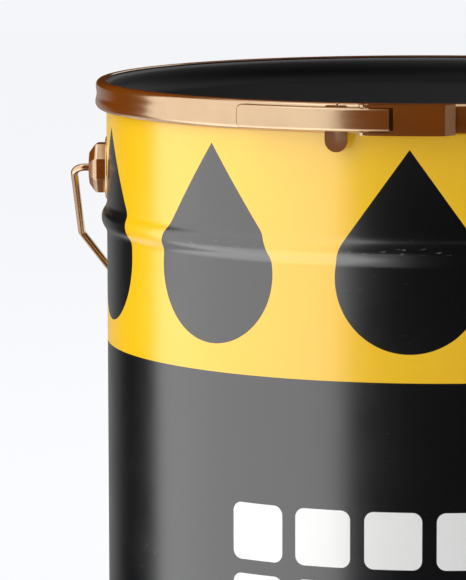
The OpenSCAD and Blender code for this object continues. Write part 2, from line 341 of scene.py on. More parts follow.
def drop_shape(n, s, z):
    """1 inside a row of paint drops: a round foot with a taper up to a point."""
    pitch = 2 * math.pi * BODY_R / DROPS
    radius = DROP_R
    u = n.math("SUBTRACT", s, (DROP_AT - pitch / 2) * MM)
    u = n.math("SUBTRACT", n.math("FLOORED_MODULO", u, pitch * MM), pitch / 2 * MM)
    u = n.math("ABSOLUTE", u)
    v = n.math("SUBTRACT", z, (DROP_FOOT_Z + radius) * MM)
    tip = DROP_TOP_Z - DROP_FOOT_Z - radius
    lean = math.asin(radius / tip)
    far = n.math("SQRT", n.math("ADD", n.math("MULTIPLY", u, u), n.math("MULTIPLY", v, v)))
    disc = n.math("LESS_THAN", far, radius * MM)
    edge = n.math("MULTIPLY", n.math("SUBTRACT", tip * MM, v), math.tan(lean))
    cone = n.math("LESS_THAN", u, edge)
    above = n.math("GREATER_THAN", v, radius * math.sin(lean) * MM)
    return n.math("MAXIMUM", disc, n.math("MULTIPLY", cone, above))


def chip_shape(n, s, z):
    """1 inside a block of rounded squares, as on a colour card."""
    pitch = CHIP + CHIP_GAP
    half_w, rows_h = CHIPS * pitch / 2, CHIP_ROWS * pitch
    left = n.math("ADD", s, half_w * MM)
    down = n.math("SUBTRACT", (CHIP_TOP_Z + CHIP_GAP / 2) * MM, z)
    inside = n.math("MULTIPLY",
                    n.math("LESS_THAN", n.math("ABSOLUTE", s), half_w * MM),
                    n.math("MULTIPLY", n.math("GREATER_THAN", down, 0.0),
                           n.math("LESS_THAN", down, rows_h * MM)))
    core = (CHIP / 2 - CHIP_ROUND) * MM
    sides = []
    for value in (left, down):
        cell = n.math("SUBTRACT", n.math("FLOORED_MODULO", value, pitch * MM), pitch / 2 * MM)
        sides.append(n.math("MAXIMUM", n.math("SUBTRACT", n.math("ABSOLUTE", cell), core), 0.0))
    far = n.math("SQRT", n.math("ADD", *(n.math("MULTIPLY", d, d) for d in sides)))
    return n.math("MULTIPLY", inside, n.math("LESS_THAN", far, CHIP_ROUND * MM))


def printed_steel():
    """The body's varnished print: yellow above black, with plain drops and squares, bare at the weld."""
    n = Nodes("printed_steel")
    s, z = around(n)
    x, y, _ = n.point()
    place = n.join(x, y, z)
    drops = drop_shape(n, s, z)
    below = n.math("LESS_THAN", z, LABEL_EDGE_Z * MM)
    black = n.math("MAXIMUM", below, drops)
    drift = n.noise(place, 9.0, 2.0)
    yellow = n.blend(n.between(drift, 0.35, 0.65), YELLOW, tuple(c * 0.965 for c in YELLOW))
    ink = n.blend(n.between(drift, 0.35, 0.65), INK, tuple(c * 1.25 for c in INK))
    colour = n.blend(black, yellow, ink)
    colour = n.blend(chip_shape(n, s, z), colour, CHIP_WHITE)
    # the welded side seam at the back is left bare
    margin = n.math("GREATER_THAN", n.math("ABSOLUTE", s), (math.pi * BODY_R - BARE_MARGIN) * MM)
    colour = n.blend(margin, colour, BARE_STEEL)
    # rubbed paint on the bead's crown, in short patches
    rub = n.noise(n.join(n.math("MULTIPLY", s, 0.25), 0.0, z), 900.0, 4.0)
    out = n.radius(x, y)
    crown = n.between(out, (BODY_R + BEAD_OUT - 0.25) * MM, (BODY_R + BEAD_OUT) * MM)
    worn = n.math("MULTIPLY", crown, n.between(rub, 0.60, 0.70, 0.0, 0.35))
    colour = n.blend(worn, colour, BARE_STEEL)
    # varnish: faint orange peel, fine dots from the printing screen, and hair scratches
    peel = n.noise(place, 260.0, 2.0)
    dot_turns = 2 * math.pi / (DOT_PITCH * MM)
    dots = n.math("MULTIPLY", n.math("SINE", n.math("MULTIPLY", s, dot_turns)),
                  n.math("SINE", n.math("MULTIPLY", z, dot_turns)))
    scratches = n.noise(n.join(n.math("MULTIPLY", s, 0.06), 0.0, z), 2600.0, 2.0)
    normal = n.bump(peel, 0.00002, 0.35)
    normal = n.bump(dots, 0.000004, 0.5, normal)
    rough = n.between(n.noise(place, 34.0, 4.0), 0.3, 0.7, 0.215, 0.26)
    rough = n.math("ADD", rough, n.between(scratches, 0.66, 0.76, 0.0, 0.05))
    return n.finish(colour, rough, normal, IOR=1.9)


def lining():
    """The dull gold lacquer inside the pail, with the faint rings left by rolling."""
    n = Nodes("lining")
    x, y, z = n.point()
    place = n.join(x, y, z)
    cloud = n.noise(place, 30.0, 4.0)
    rings = n.noise(n.join(0.0, 0.0, z), 700.0, 2.0)
    colour = n.blend(n.between(cloud, 0.3, 0.7), (0.46, 0.36, 0.19), (0.54, 0.43, 0.24))
    rough = n.math("ADD", n.between(cloud, 0.3, 0.7, 0.34, 0.44), n.between(rings, 0.3, 0.7, 0.0, 0.06))
    return n.finish(colour, rough, n.bump(rings, 0.00002, 0.4), Metallic=0.7)


def copper(name, streaked):
    """Copper lacquer on steel: bright metal under a red-brown tint. Streaks run along a rolled piece."""
    n = Nodes(name)
    x, y, z = n.point()
    place = n.join(x, y, z)
    if streaked:
        s, _ = around(n)
        out = n.radius(x, y)
        grain = n.noise(n.join(n.math("MULTIPLY", s, 0.012), out, z), 3200.0, 3.0)
    else:
        grain = n.noise(place, 1500.0, 3.0)
    cloud = n.noise(place, 60.0, 3.0)
    rub = n.between(n.noise(place, 380.0, 5.0), 0.64, 0.72, 0.0, 0.35)
    metal = n.blend(n.between(cloud, 0.35, 0.68), METAL, tuple(c * 0.94 for c in METAL))
    tint = n.blend(n.between(cloud, 0.35, 0.68), TINT, tuple(c * 0.85 for c in TINT))
    tint = n.blend(rub, tint, TINT_WORN)
    rough = n.math("ADD", n.between(cloud, 0.3, 0.7, 0.12, 0.16), n.between(grain, 0.3, 0.7, 0.0, 0.06))
    normal = n.bump(grain, 0.000006 if streaked else 0.000004, 0.5)
    normal = n.bump(n.noise(place, 120.0, 2.0), 0.00002, 0.25, normal)
    n.finish(metal, rough, normal, Metallic=1.0)
    lacquer = n.new("BsdfPrincipled")
    n.put(tint, lacquer.inputs["Base Color"])
    n.put(rough, lacquer.inputs["Roughness"])
    n.put(normal, lacquer.inputs["Normal"])
    # the metal comes first, because the export keeps the first shader of a mix
    mix = n.new("MixShader")
    n.put(1 - METAL_SHARE, mix.inputs[0])
    n.put(n.shader.outputs[0], mix.inputs[1])
    n.put(lacquer.outputs[0], mix.inputs[2])
    n.put(mix.outputs[0], n.tree.nodes["Material Output"].inputs["Surface"])
    return n.material


def black_lacquer():
    """The lid's semi-gloss black enamel, with faint circular rub marks."""
    n = Nodes("black_lacquer")
    x, y, z = n.point()
    place = n.join(x, y, z)
    out = n.radius(x, y)
    cloud = n.noise(place, 14.0, 3.0)
    rings = n.noise(n.join(out, 0.0, 0.0), 900.0, 2.0)
    dust = n.between(n.noise(place, 700.0, 2.0), 0.70, 0.78, 0.0, 0.12)
    colour = n.blend(n.between(cloud, 0.3, 0.7), (0.0036, 0.0036, 0.0038), (0.0048, 0.0048, 0.005))
    # painted highlight: the upper part of the upright wall is painted lighter grey towards the top, standing
    # in for the rim's soft reflection
    painted_rim_highlight = n.between(z, (HEIGHT - 7.5) * MM, (HEIGHT - 0.5) * MM)
    colour = n.blend(n.math("MULTIPLY", painted_rim_highlight, painted_rim_highlight), colour, (0.085, 0.085, 0.087))
    colour = n.blend(dust, colour, (0.06, 0.06, 0.06))
    rough = n.math("ADD", n.between(cloud, 0.3, 0.7, 0.55, 0.63), n.between(rings, 0.55, 0.75, 0.0, 0.06))
    normal = n.bump(n.noise(place, 300.0, 2.0), 0.00002, 0.3)
    return n.finish(colour, rough, normal, Specular_IOR_Level=0.09)


def moulded_black():
    """The grip's moulded plastic: a fine spark-eroded grain, shinier where a hand rubs it."""
    n = Nodes("moulded_black")
    x, y, z = n.point()
    place = n.join(x, y, z)
    grain = n.noise(place, 1800.0, 3.0)
    cloud = n.noise(place, 45.0, 3.0)
    colour = n.blend(n.between(cloud, 0.3, 0.7), (0.012, 0.012, 0.013), (0.022, 0.022, 0.023))
    rough = n.between(cloud, 0.3, 0.7, 0.38, 0.52)
    return n.finish(colour, rough, n.bump(grain, 0.00005, 0.6))


def sealing_compound():
    """Grey rubbery compound with a poured, uneven face."""
    n = Nodes("sealing_compound")
    x, y, z = n.point()
    place = n.join(x, y, z)
    cloud = n.noise(place, 220.0, 4.0)
    colour = n.blend(n.between(cloud, 0.3, 0.7), (0.075, 0.073, 0.070), (0.12, 0.117, 0.110))
    return n.finish(colour, n.between(cloud, 0.3, 0.7, 0.6, 0.8), n.bump(cloud, 0.0001, 0.5))


def weld_steel():
    """Lacquered bare steel with the ripple of a roll-seam weld."""
    n = Nodes("weld_steel")
    x, y, z = n.point()
    place = n.join(x, y, z)
    ripple = n.math("SINE", n.math("MULTIPLY", z, 2 * math.pi / (RIPPLE_PITCH * MM)))
    cloud = n.noise(place, 300.0, 3.0)
    colour = n.blend(n.between(cloud, 0.35, 0.65), (0.30, 0.28, 0.26), (0.45, 0.42, 0.38))
    normal = n.bump(ripple, 0.00006, 0.5)
    return n.finish(colour, n.between(cloud, 0.3, 0.7, 0.28, 0.45), normal, Metallic=0.9)


PRINT = printed_steel()
LINING = lining()
WELD = weld_steel()
COPPER_ROLLED = copper("copper_rolled", True)
COPPER_PRESSED = copper("copper_pressed", False)
LACQUER = black_lacquer()
GRIP_PLASTIC = moulded_black()
COMPOUND = sealing_compound()


# ---- Can ----

# each flank of the bead is two equal arcs, which meet a quarter of its height from the end
BEAD_QUARTER = BEAD_H / 4
BEAD_BEND = (BEAD_QUARTER ** 2 + (BEAD_OUT / 2) ** 2) / BEAD_OUT


def bead_wall(r):
    """A wall at radius r with its swaged bead, from below it to above it."""
    turn = math.degrees(math.asin(BEAD_QUARTER / BEAD_BEND))
    return (arc(r + BEAD_BEND, BEAD_Z - BEAD_H / 2, BEAD_BEND, 180, 180 - turn, 8)
            + arc(r + BEAD_OUT - BEAD_BEND, BEAD_Z, BEAD_BEND, -turn, turn, 16)[1:-1]
            + arc(r + BEAD_BEND, BEAD_Z + BEAD_H / 2, BEAD_BEND, 180 + turn, 180, 8))


def can_shell():
    """The body with its rolled rim and bead, printed outside and lacquered inside, and its side seam."""
    crown_r = (CURL_R - INNER_R) / 2
    crown_x, crown_z = INNER_R + crown_r, CURL_TOP - crown_r
    foot_r = 1.15
    foot_x, foot_z = CURL_R - foot_r, RING_FOOT_Z + RING_T + 0.3 + foot_r + 0.4
    foot = box_mm("can_shell")[0].z
    levels = [foot + (BEAD_Z - BEAD_H / 2 - foot) * i / 12 for i in range(12)]
    outline = ([(BODY_R, z) for z in levels]
               + bead_wall(BODY_R)
               + arc(crown_x, crown_z, crown_r - SHEET, 180, 0, 14)
               + arc(foot_x, foot_z, foot_r - SHEET, 0, -170, 12)
               + arc(foot_x, foot_z, foot_r, -170, 0, 14)
               + arc(crown_x, crown_z, crown_r, 0, 180, 18)
               + bead_wall(INNER_R)[::-1]
               + [(INNER_R, z) for z in levels[::-1]])
    piece = make("shell_skin", *revolve(outline, 384), PRINT, "can", "can_shell", "body_paint")
    piece.data.materials.append(LINING)
    for face in piece.data.polygons:
        inward = face.center.x * face.normal.x + face.center.y * face.normal.y < 0
        if inward and face.center.z < (crown_z - 2) * MM:
            face.material_index = 1
    # the lapped weld at the back stands a little proud of the sheet
    top = crown_z - 6
    lap, proud, sunk, clear, steps = 0.9, 0.12, -0.05, 4, 160
    section = ((-lap, sunk), (-lap, 0.0), (-lap * 0.7, proud), (lap * 0.7, proud), (lap, 0.0), (lap, sunk))
    sections = []
    for z in [foot + clear + (top - foot - clear) * i / steps for i in range(steps + 1)]:
        r = wall_radius(z)
        sections.append([on_hoop(r + h, 180 + math.degrees(w / BODY_R), z) for w, h in section])
    weld = make("side_seam", *loft(sections), WELD, "can", None, "body_paint")
    return piece, weld


def wall_radius(z):
    """The body's outer radius at a height, bead included."""
    far = abs(z - BEAD_Z)
    if far >= BEAD_H / 2:
        return BODY_R
    if far >= BEAD_QUARTER:
        return BODY_R + BEAD_BEND - math.sqrt(BEAD_BEND ** 2 - (BEAD_H / 2 - far) ** 2)
    return BODY_R + BEAD_OUT - BEAD_BEND + math.sqrt(BEAD_BEND ** 2 - far ** 2)


# radii of the panel's pressed grooves, and the heights between which the folded edge turns in
GROOVES, GROOVE_HALF_W, GROOVE_DEPTH = (112.0, 62.0), 5.0, 1.6
FOLD_LOW_Z, FOLD_TOP_Z = 4.5, 5.0


def can_bottom():
    """The end panel with two pressed grooves, folded round the body's edge."""
    t, corner = SHEET, 1.0
    upper_bend, lower_bend, fold_bend = 1.0, 0.6, 0.6
    panel = box_mm("can_bottom")[1].z
    wall = INNER_R - 0.05
    upper = [(wall, corner + t), (wall, panel - upper_bend)]
    upper += arc(wall - upper_bend, panel - upper_bend, upper_bend, 20, 90, 4)
    # from outside in; both faces follow the grooves, so the sheet keeps its thickness
    top = []
    for groove_r in GROOVES:
        top.append((groove_r + GROOVE_HALF_W, panel))
        for a in (math.radians(d) for d in range(10, 180, 10)):
            top.append((groove_r + GROOVE_HALF_W * math.cos(a) * 0.8, panel - GROOVE_DEPTH * math.sin(a)))
        top.append((groove_r - GROOVE_HALF_W, panel))
    low = [(r, z - t) for r, z in top]
    outline = (arc(SEAM_R - corner, corner, corner, 0, -90, 6)
               + arc(wall - t + corner, corner, corner, -90, -180, 6)
               + [(wall - t, panel - t - lower_bend)]
               + arc(wall - t - lower_bend, panel - t - lower_bend, lower_bend, 20, 90, 4)
               + low + [(0.0, panel - t), (0.0, panel)] + top[::-1] + upper[::-1]
               + [(SEAM_R - t, corner + t), (SEAM_R - t, FOLD_LOW_Z - 0.2),
                  (SEAM_R - t - 0.3, FOLD_LOW_Z), (BODY_R + 0.3, FOLD_LOW_Z),
                  (BODY_R + 0.3, FOLD_TOP_Z), (SEAM_R - 0.8, FOLD_TOP_Z)]
               + arc(SEAM_R - fold_bend, FOLD_TOP_Z - fold_bend, fold_bend, 90, 0, 5))
    return make("bottom_skin", *revolve(outline, 288), PRINT, "can", "can_bottom", "body_paint")


# ---- Ears ----

EAR_D, PLATE_T = 27.8, 0.8
BOSS_D, FACE_D, BOSS_STEP, BOSS_FACE = 23.4, 14.6, 5.1, 8.0


def ear_plate(side, node):
    """A round plate that follows the body, with a rolled edge."""
    rim, roll, edge_t = EAR_D / 2, 0.5, 0.3
    rings = [(rim * i / 10, 1.0) for i in range(1, 9)]
    edge = [math.radians(a) for a in (0, 30, 60, 90)]
    rings += [(rim - roll + roll * math.sin(a), math.cos(a)) for a in edge]
    around_steps = 96
    verts, faces = [], []

    def place(rho, turn, height):
        y, z = rho * math.cos(turn), rho * math.sin(turn)
        r = BODY_R + height
        return Vector((side * math.sqrt(r * r - y * y), y, EAR_Z + z))

    def layer(rings, heights):
        first = len(verts)
        for (rho, _), h in zip(rings, heights):
            verts.extend(place(rho, 2 * math.pi * k / around_steps, h) for k in range(around_steps))
        return first

    top = layer(rings, [edge_t + (PLATE_T - edge_t) * lift for _, lift in rings])
    low = layer([rings[0], rings[-1]], [0.0, 0.0])
    bands = [(top + i * around_steps, top + (i + 1) * around_steps) for i in range(len(rings) - 1)]
    bands += [(top + (len(rings) - 1) * around_steps, low + around_steps), (low + around_steps, low)]
    for a, b in bands:
        for k in range(around_steps):
            n = (k + 1) % around_steps
            faces.append((a + k, a + n, b + n, b + k))
    faces += [tuple(top + k for k in range(around_steps)), tuple(low + k for k in range(around_steps))]
    return make(f"{node}_pressed", verts, faces, COPPER_PRESSED, "can", node, "copper_steel")


def octagon(across, steps=8):
    """Points round an octagon of that size across its corners, and their angles."""
    flat = across / 2 * math.cos(math.radians(22.5))
    points = []
    for k in range(8 * steps):
        a = 45.0 * k / steps - 22.5
        off = (a + 22.5) % 45 - 22.5
        r = flat / math.cos(math.radians(off))
        points.append((r, math.radians(a)))
    return points


def ear_boss(side, node):
    """The octagonal cup that holds the head of the bail, with its bore."""
    wall = 0.9
    base = BODY_R - 0.2

    def ring(points, x):
        return [Vector((side * x, r * math.sin(a), EAR_Z - side * r * math.cos(a))) for r, a in points]

    def disc(r):
        return [(r, a) for _, a in octagon(BOSS_D)]

    step_x, face_x = BODY_R + BOSS_STEP, BODY_R + BOSS_FACE
    bore = WIRE_R + 0.05
    slope = (BOSS_D - FACE_D) / (BOSS_FACE - BOSS_STEP)
    before, after = 1.3, 0.9
    rings = [ring(octagon(BOSS_D), base)]
    # the shoulder is pressed round, not sharp
    for i in range(9):
        t = i / 8
        along = -before * (1 - t) ** 2 + after * t * t
        rings.append(ring(octagon(BOSS_D - slope * after * t * t), step_x + along))
    rings += [ring(octagon(FACE_D), face_x), ring(disc(bore + 0.35), face_x),
             ring(disc(bore + 0.1), face_x - 0.1), ring(disc(bore), face_x - 0.35),
             ring(disc(bore), face_x - wall), ring(octagon(FACE_D - wall), face_x - wall),
             ring(octagon(BOSS_D - 2 * wall), step_x - 0.3),
             ring(octagon(BOSS_D - 2 * wall), base)]
    count = len(rings[0])
    verts = [p for r in rings for p in r]
    faces = []
    for i in range(len(rings)):
        a, b = i * count, ((i + 1) % len(rings)) * count
        for k in range(count):
            n = (k + 1) % count
            faces.append((a + k, a + n, b + n, b + k))
    piece = make(f"{node}_pressed", verts, faces, COPPER_PRESSED, "can", node, "copper_steel", sharp=20)
    return soften(piece, 0.4, 3, 30)


# ---- Bail ----

def fillet(corners, radii, steps=14):
    """A path through corners (x, s) with each inner one rounded."""
    path = [Vector(corners[0])]
    for i in range(1, len(corners) - 1):
        before, here, after = (Vector(c) for c in corners[i - 1:i + 2])
        u, v = (before - here).normalized(), (after - here).normalized()
        half = math.acos(max(-1, min(1, u.dot(v)))) / 2
        cut = radii[i - 1] / math.tan(half)
        centre = here + (u + v).normalized() * (radii[i - 1] / math.sin(half))
        a, b = here + u * cut - centre, here + v * cut - centre
        full = math.acos(max(-1, min(1, a.normalized().dot(b.normalized()))))
        for k in range(steps + 1):
            t = k / steps
            path.append(centre + (a * math.sin((1 - t) * full) + b * math.sin(t * full)) / math.sin(full))
    path.append(Vector(corners[-1]))
    return path


def hang_point(x, s, off=0.0):
    """A point of the bail's plane: x across, s down from the ears' axis, off out of the plane."""
    y = s * math.sin(HANG) + off * math.cos(HANG)
    return Vector((x, y, EAR_Z - s * math.cos(HANG) + off * math.sin(HANG)))


def bail_wire():
    """The drawn wire with an upset head at each end."""
    corner_x = ARM_X - (BAIL_REACH - KNEE_AT) * math.tan(SLANT)
    head_x = BODY_R + BOSS_FACE - 3.2
    half = [(head_x, 0.0), (ARM_X, 0.0), (ARM_X, KNEE_AT), (corner_x, BAIL_REACH)]
    corners = [(-x, s) for x, s in half] + half[::-1]
    path = fillet(corners, [5.0, 8.0, 45.0, 45.0, 8.0, 5.0], 18)
    head = [(0.0, 2.4), (0.25, 2.9), (0.95, 3.0), (1.2, 2.6), (1.2, WIRE_R + 0.2), (1.5, WIRE_R)]
    stations = [(Vector((-head_x + d, 0.0)), r) for d, r in head]
    stations += [(p, WIRE_R) for p in path[1:-1]]
    stations += [(Vector((head_x - d, 0.0)), r) for d, r in head[::-1]]
    sides = 28
    sections = []
    for i, (p, r) in enumerate(stations):
        ahead = stations[min(i + 1, len(stations) - 1)][0]
        behind = stations[max(i - 1, 0)][0]
        along = ahead - behind
        along = along.normalized() if along.length > 1e-6 else Vector((1.0, 0.0))
        across = Vector((-along.y, along.x))
        sections.append([hang_point(*(p + across * r * math.cos(t)), r * math.sin(t))
                         for t in (2 * math.pi * k / sides for k in range(sides))])
    return make("drawn_wire", *loft(sections), COPPER_PRESSED, "bail", "bail_wire", "copper_steel")


def bail_grip():
    """The moulded roller: finger waves between two end flanges, and the mould's parting lines."""
    bore = WIRE_R + 0.08
    half = GRIP_HALF
    waves, steps = 5, 110
    outline = ([(bore, -half + 0.4), (bore + 0.4, -half)]
               + arc(GRIP_R - 1.2, -half + 1.2, 1.2, -90, 0, 6)
               + [(GRIP_R, -half + 2.6)] + arc(GRIP_R - 0.5, -half + 2.9, 0.5, 0, 90, 3))
    for i in range(steps + 1):
        t = -1 + 2 * i / steps
        wave = GRIP_R - 1.6 + 0.8 * math.cos(math.pi * waves * (t + 1))
        outline.append((wave, t * (half - 4.6)))
    outline += (arc(GRIP_R - 0.5, half - 2.9, 0.5, -90, 0, 3)
                + arc(GRIP_R - 1.2, half - 1.2, 1.2, 0, 90, 6)
                + [(bore + 0.4, half), (bore, half - 0.4)])
    turns = 96
    lines = {0: 0.14, turns // 2: 0.14}
    count = len(outline)
    verts = []
    for k in range(turns):
        a = 2 * math.pi * k / turns + HANG
        for r, x in outline:
            r += lines.get(k, 0.0) if r > GRIP_R - 3 else 0.0
            verts.append(Vector((x, GRIP_AXIS.y + r * math.cos(a), GRIP_AXIS.z + r * math.sin(a))))
    faces = [(k * count + i, ((k + 1) % turns) * count + i,
              ((k + 1) % turns) * count + (i + 1) % count, k * count + (i + 1) % count)
             for k in range(turns) for i in range(count)]
    return make("moulded_grip", verts, faces, GRIP_PLASTIC, "grip", "bail_grip", "grip_plastic")


# ---- Lid and lock ring ----

def lid_panel():
    """The dished lid: panel, rounded corner, upright wall, crown over the rim and skirt."""
    t, fold, blend = 0.4, 1.5, 7.0
    panel = HEIGHT - 11.5
    wall = INNER_R - 0.4 - t
    skirt_foot = HEIGHT - 7
    inside = fold - t
    radii = [wall - blend - (wall - blend) * i / 24 for i in range(25)]
    outline = ([(max(r, 0.0), panel - t) for r in radii[::-1]]
               + arc(wall - blend, panel + blend, blend + t, -90, 0, 16)
               + arc(wall + fold, LID_TOP - fold, inside, 180, 90, 8)
               + arc(LID_SKIRT_R - fold, LID_TOP - fold, inside, 90, 0, 8)
               + [(LID_SKIRT_R - t, skirt_foot), (LID_SKIRT_R, skirt_foot)]
               + arc(LID_SKIRT_R - fold, LID_TOP - fold, fold, 0, 90, 10)
               + arc(wall + fold, LID_TOP - fold, fold, 90, 180, 10)
               + arc(wall - blend, panel + blend, blend, 0, -90, 16)
               + [(max(r, 0.0), panel) for r in radii])
    return make("lid_skin", *revolve(outline, 384), LACQUER, "lid", "lid_panel", "lid_lacquer")


def ring_outline(inset):
    """Outside of the ring's channel section, moved in by inset: lip, crown, two lobes, waist and foot."""
    crown_r, foot_r, waist, lip = 2.3, 2.7, 0.45, 1.4
    crown_out = BODY_R + 4.6
    cx, cz = crown_out - crown_r, HEIGHT - crown_r
    fx, fz = RING_OUT - foot_r, RING_FOOT_Z + foot_r
    points = [(cx - lip, HEIGHT - inset)]
    points += arc(cx, cz, crown_r - inset, 90, 0, 16)
    for i in range(1, 20):
        u = i / 20
        points.append((crown_out + (RING_OUT - crown_out) * u - waist * math.sin(math.pi * u) ** 2 - inset,
                       cz + (fz - cz) * u))
    points += arc(fx, fz, foot_r - inset, 0, -120, 18)
    return points


def lock_ring():
    """The closing ring: its section turned round the pail, with a split at the front."""
    half_split = math.degrees(SPLIT_W / 2 / BODY_R)
    outer, inner = ring_outline(0.0), ring_outline(RING_T)
    lip = [(outer[0][0] - 0.28, outer[0][1] - 0.12), (outer[0][0] - 0.4, outer[0][1] - 0.4),
           (outer[0][0] - 0.28, outer[0][1] - 0.68)]
    outline = lip[::-1] + outer + inner[::-1]
    verts, faces = revolve(outline, 400, SPLIT_AT + half_split, 360 - 2 * half_split)
    piece = make("rolled_ring", verts, faces, COPPER_ROLLED, "ring", "lock_ring", "copper_steel")
    return soften(piece, 0.15, 2, 60)


# ---- Closure ----

def channel(half, r_in, r_out, t, bend, depth):
    """A C section (r, z) about z = 0 open inwards, its hollow as deep as depth allows."""
    bend = min(bend, half * 0.9)
    hollow = r_in + depth
    inner = max(bend - t, 0.05)
    floor = min(hollow, r_out - t)
    outer = ([(r_in, -half)] + arc(r_out - bend, -half + bend, bend, -90, 0, 6)
             + arc(r_out - bend, half - bend, bend, 0, 90, 6) + [(r_in, half)])
    inside = ([(r_in, half - t)]
              + arc(max(floor - inner, r_in), half - t - inner, inner if depth > 1 else 0.0, 90, 0, 4)
              + arc(max(floor - inner, r_in), -half + t + inner, inner if depth > 1 else 0.0, 0, -90, 4)
              + [(r_in, -half + t)])
    return outer + inside


def lever():
    """The pressed lever: a channel bent to the ring, its free end closed and rounded."""
    half, corner, nose = LEVER_H / 2, 2.5, 1.6
    depth = LEVER_R - LEVER_IN
    wall = 0.9
    length = math.radians(LEVER_END - LEVER_TIP) * LEVER_R
    at = [corner * (1 - math.cos(math.radians(a))) for a in range(0, 91, 6)]
    cuts = [(u, 0.0) for u in at if u < wall] + [(wall, 0.0), (wall, depth)]
    cuts += [(u, depth) for u in at if u > wall]
    cuts += [(corner + (length - corner) * i / 90, depth) for i in range(1, 91)]
    sections = []
    for u, hollow in cuts:
        short = corner - math.sqrt(max(corner ** 2 - (corner - min(u, corner)) ** 2, 0.0))
        back = nose - math.sqrt(max(nose ** 2 - (nose - min(u, nose)) ** 2, 0.0))
        outline = channel(half - short * 0.92, LEVER_IN, LEVER_R - back, LEVER_T, 1.5,
                          max(hollow - back, 0.0))
        direction = LEVER_TIP + math.degrees(u / LEVER_R)
        sections.append([on_hoop(r, direction, RING_MID + z) for r, z in outline])
    piece = make("pressed_lever", *loft(sections), COPPER_ROLLED, "lever", "lever", "copper_steel", sharp=50)
    # the hinge pin turns freely in both flanges
    bore = prism(round_hole(HINGE, PIN_R + 0.15), RING_MID - half - 1, RING_MID + half + 1)
    boolean(piece, make("lever_bore", *bore, COPPER_ROLLED, "lever"), "DIFFERENCE")
    return soften(piece, 0.12, 2, 50)


def round_hole(centre, r, points=40):
    """A circle in plan about centre."""
    turns = [2 * math.pi * k / points for k in range(points)]
    return [(centre.x + r * math.cos(t), centre.y + r * math.sin(t)) for t in turns]


def plan(points):
    """(radius, direction) pairs as flat (x, y) points."""
    return [tuple(on_hoop(r, d, 0)[:2]) for r, d in points]


def sweep_at(r, start, end, steps):
    """(radius, direction) pairs along one radius."""
    return [(r, start + (end - start) * i / steps) for i in range(steps + 1)]


def fork():
    """The fork on the ring's right end: two flanges with hooked noses, and a web down to the ring."""
    half = RING_H / 2
    nose_at, nose_r = (LEVER_R + RING_OUT) / 2, (LEVER_R - RING_OUT) / 2
    foot = RING_OUT + 0.8
    ramp = [(LEVER_R - 0.25 * k * k / 4, FORK_END + 0.10 * k) for k in range(1, 4)]
    outside = sweep_at(LEVER_R, HOOK_AT, FORK_END, 40) + ramp + [(foot, RAMP_END)]
    inside = sweep_at(RING_OUT + 0.1, RAMP_END, HOOK_AT, 48)
    centre = on_hoop(nose_at, HOOK_AT, 0)
    aim = math.radians(HOOK_AT)
    nose = []
    for i in range(1, 24):
        a = math.pi * i / 24
        tangent = Vector((-math.cos(aim), -math.sin(aim), 0)) * math.sin(a)
        radial = Vector((math.sin(aim), -math.cos(aim), 0)) * -math.cos(a)
        nose.append(tuple((centre + (tangent + radial) * nose_r)[:2]))
    flange = plan(outside) + plan(inside) + nose
    pieces = [prism(flange, RING_MID + half - FORK_T, RING_MID + half),
              prism(flange, RING_MID - half, RING_MID - half + FORK_T)]
    web_out = sweep_at(LEVER_R, FORK_START, FORK_END, 30) + ramp + [(foot, RAMP_END)]
    web_in = [(RING_OUT + 0.1, RAMP_END), (RING_OUT + 0.1, FORK_END - 0.4)]
    web_in += sweep_at(LEVER_R - FORK_T, FORK_END - 0.4, FORK_START, 28)
    pieces.append(prism(plan(web_out + web_in), RING_MID - half + 0.5, RING_MID + half - 0.5))
    made = [make(f"fork_part_{i}", *p, COPPER_ROLLED, "ring") for i, p in enumerate(pieces)]
    whole = made[0]
    for other in made[1:]:
        boolean(whole, other, "UNION")
    # the slot follows the hook pin's path about the hinge
    reach = 2 * PIN_AT_R * math.sin(math.radians(HINGE_AT - HOOK_AT) / 2)
    wide = PIN_R + 0.05
    start = math.radians(180 + (HINGE_AT + HOOK_AT) / 2)
    turns = [start + math.radians(60) * i / 20 for i in range(21)]
    centre_line = Vector((HINGE.x, HINGE.y, 0))
    rim = [centre_line + Vector((math.cos(t), math.sin(t), 0)) * (reach + wide) for t in turns]
    core = [centre_line + Vector((math.cos(t), math.sin(t), 0)) * (reach - wide) for t in turns[::-1]]
    pin = on_hoop(PIN_AT_R, HOOK_AT, 0)
    back = [pin + Vector((math.cos(start - math.pi / 2 + b), math.sin(start - math.pi / 2 + b), 0)) * wide
            for b in (math.pi / 2 * (i / 6 - 1) for i in range(1, 12))]
    slot = make("fork_slot", *prism([tuple(p[:2]) for p in rim + core + back], RING_MID - 10, RING_MID + 10),
                COPPER_ROLLED, "ring")
    boolean(whole, slot, "DIFFERENCE")
    return soften(finish_joined(whole, "pressed_fork", "hook_bracket"), 0.28, 3, 35)


